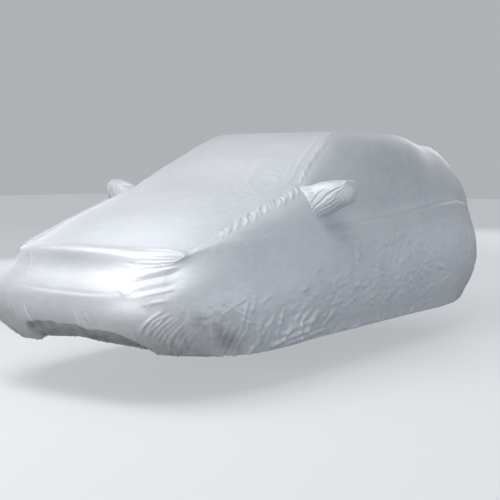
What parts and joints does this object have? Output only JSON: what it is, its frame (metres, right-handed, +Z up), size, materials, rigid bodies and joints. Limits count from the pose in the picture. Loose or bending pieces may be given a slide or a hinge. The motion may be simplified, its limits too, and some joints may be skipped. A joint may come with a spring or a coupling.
{
  "type": "fitted car cover",
  "caption": "Fitted cover of thin silver cloth for a compact high-roofed car, sewn from top, front, rear and side panels with a pocket for each door mirror.",
  "frame": {"origin": "where the middle of the car's roof carries the inner face of the top panel, 1.596 m above the ground that the car would stand on; the hem ends 0.23 to 0.31 m above that ground", "axes": "+Z up; -Y towards the car's front; +X towards the car's left side"},
  "size_m": [2.068, 4.6179, 1.3849],
  "materials": {
    "top_cloth": "satin silver-coated woven polyester",
    "front_cloth": "satin silver-coated woven polyester",
    "rear_cloth": "satin silver-coated woven polyester",
    "side_left_cloth": "satin silver-coated woven polyester",
    "side_right_cloth": "satin silver-coated woven polyester",
    "pocket_left_cloth": "satin silver-coated woven polyester",
    "pocket_right_cloth": "satin silver-coated woven polyester"
  },
  "bodies": {
    "root": {"top": "top_cloth", "front": "front_cloth", "rear": "rear_cloth", "side_left": "side_left_cloth", "side_right": "side_right_cloth", "pocket_left": "pocket_left_cloth", "pocket_right": "pocket_right_cloth"}
  },
  "joints": []
}
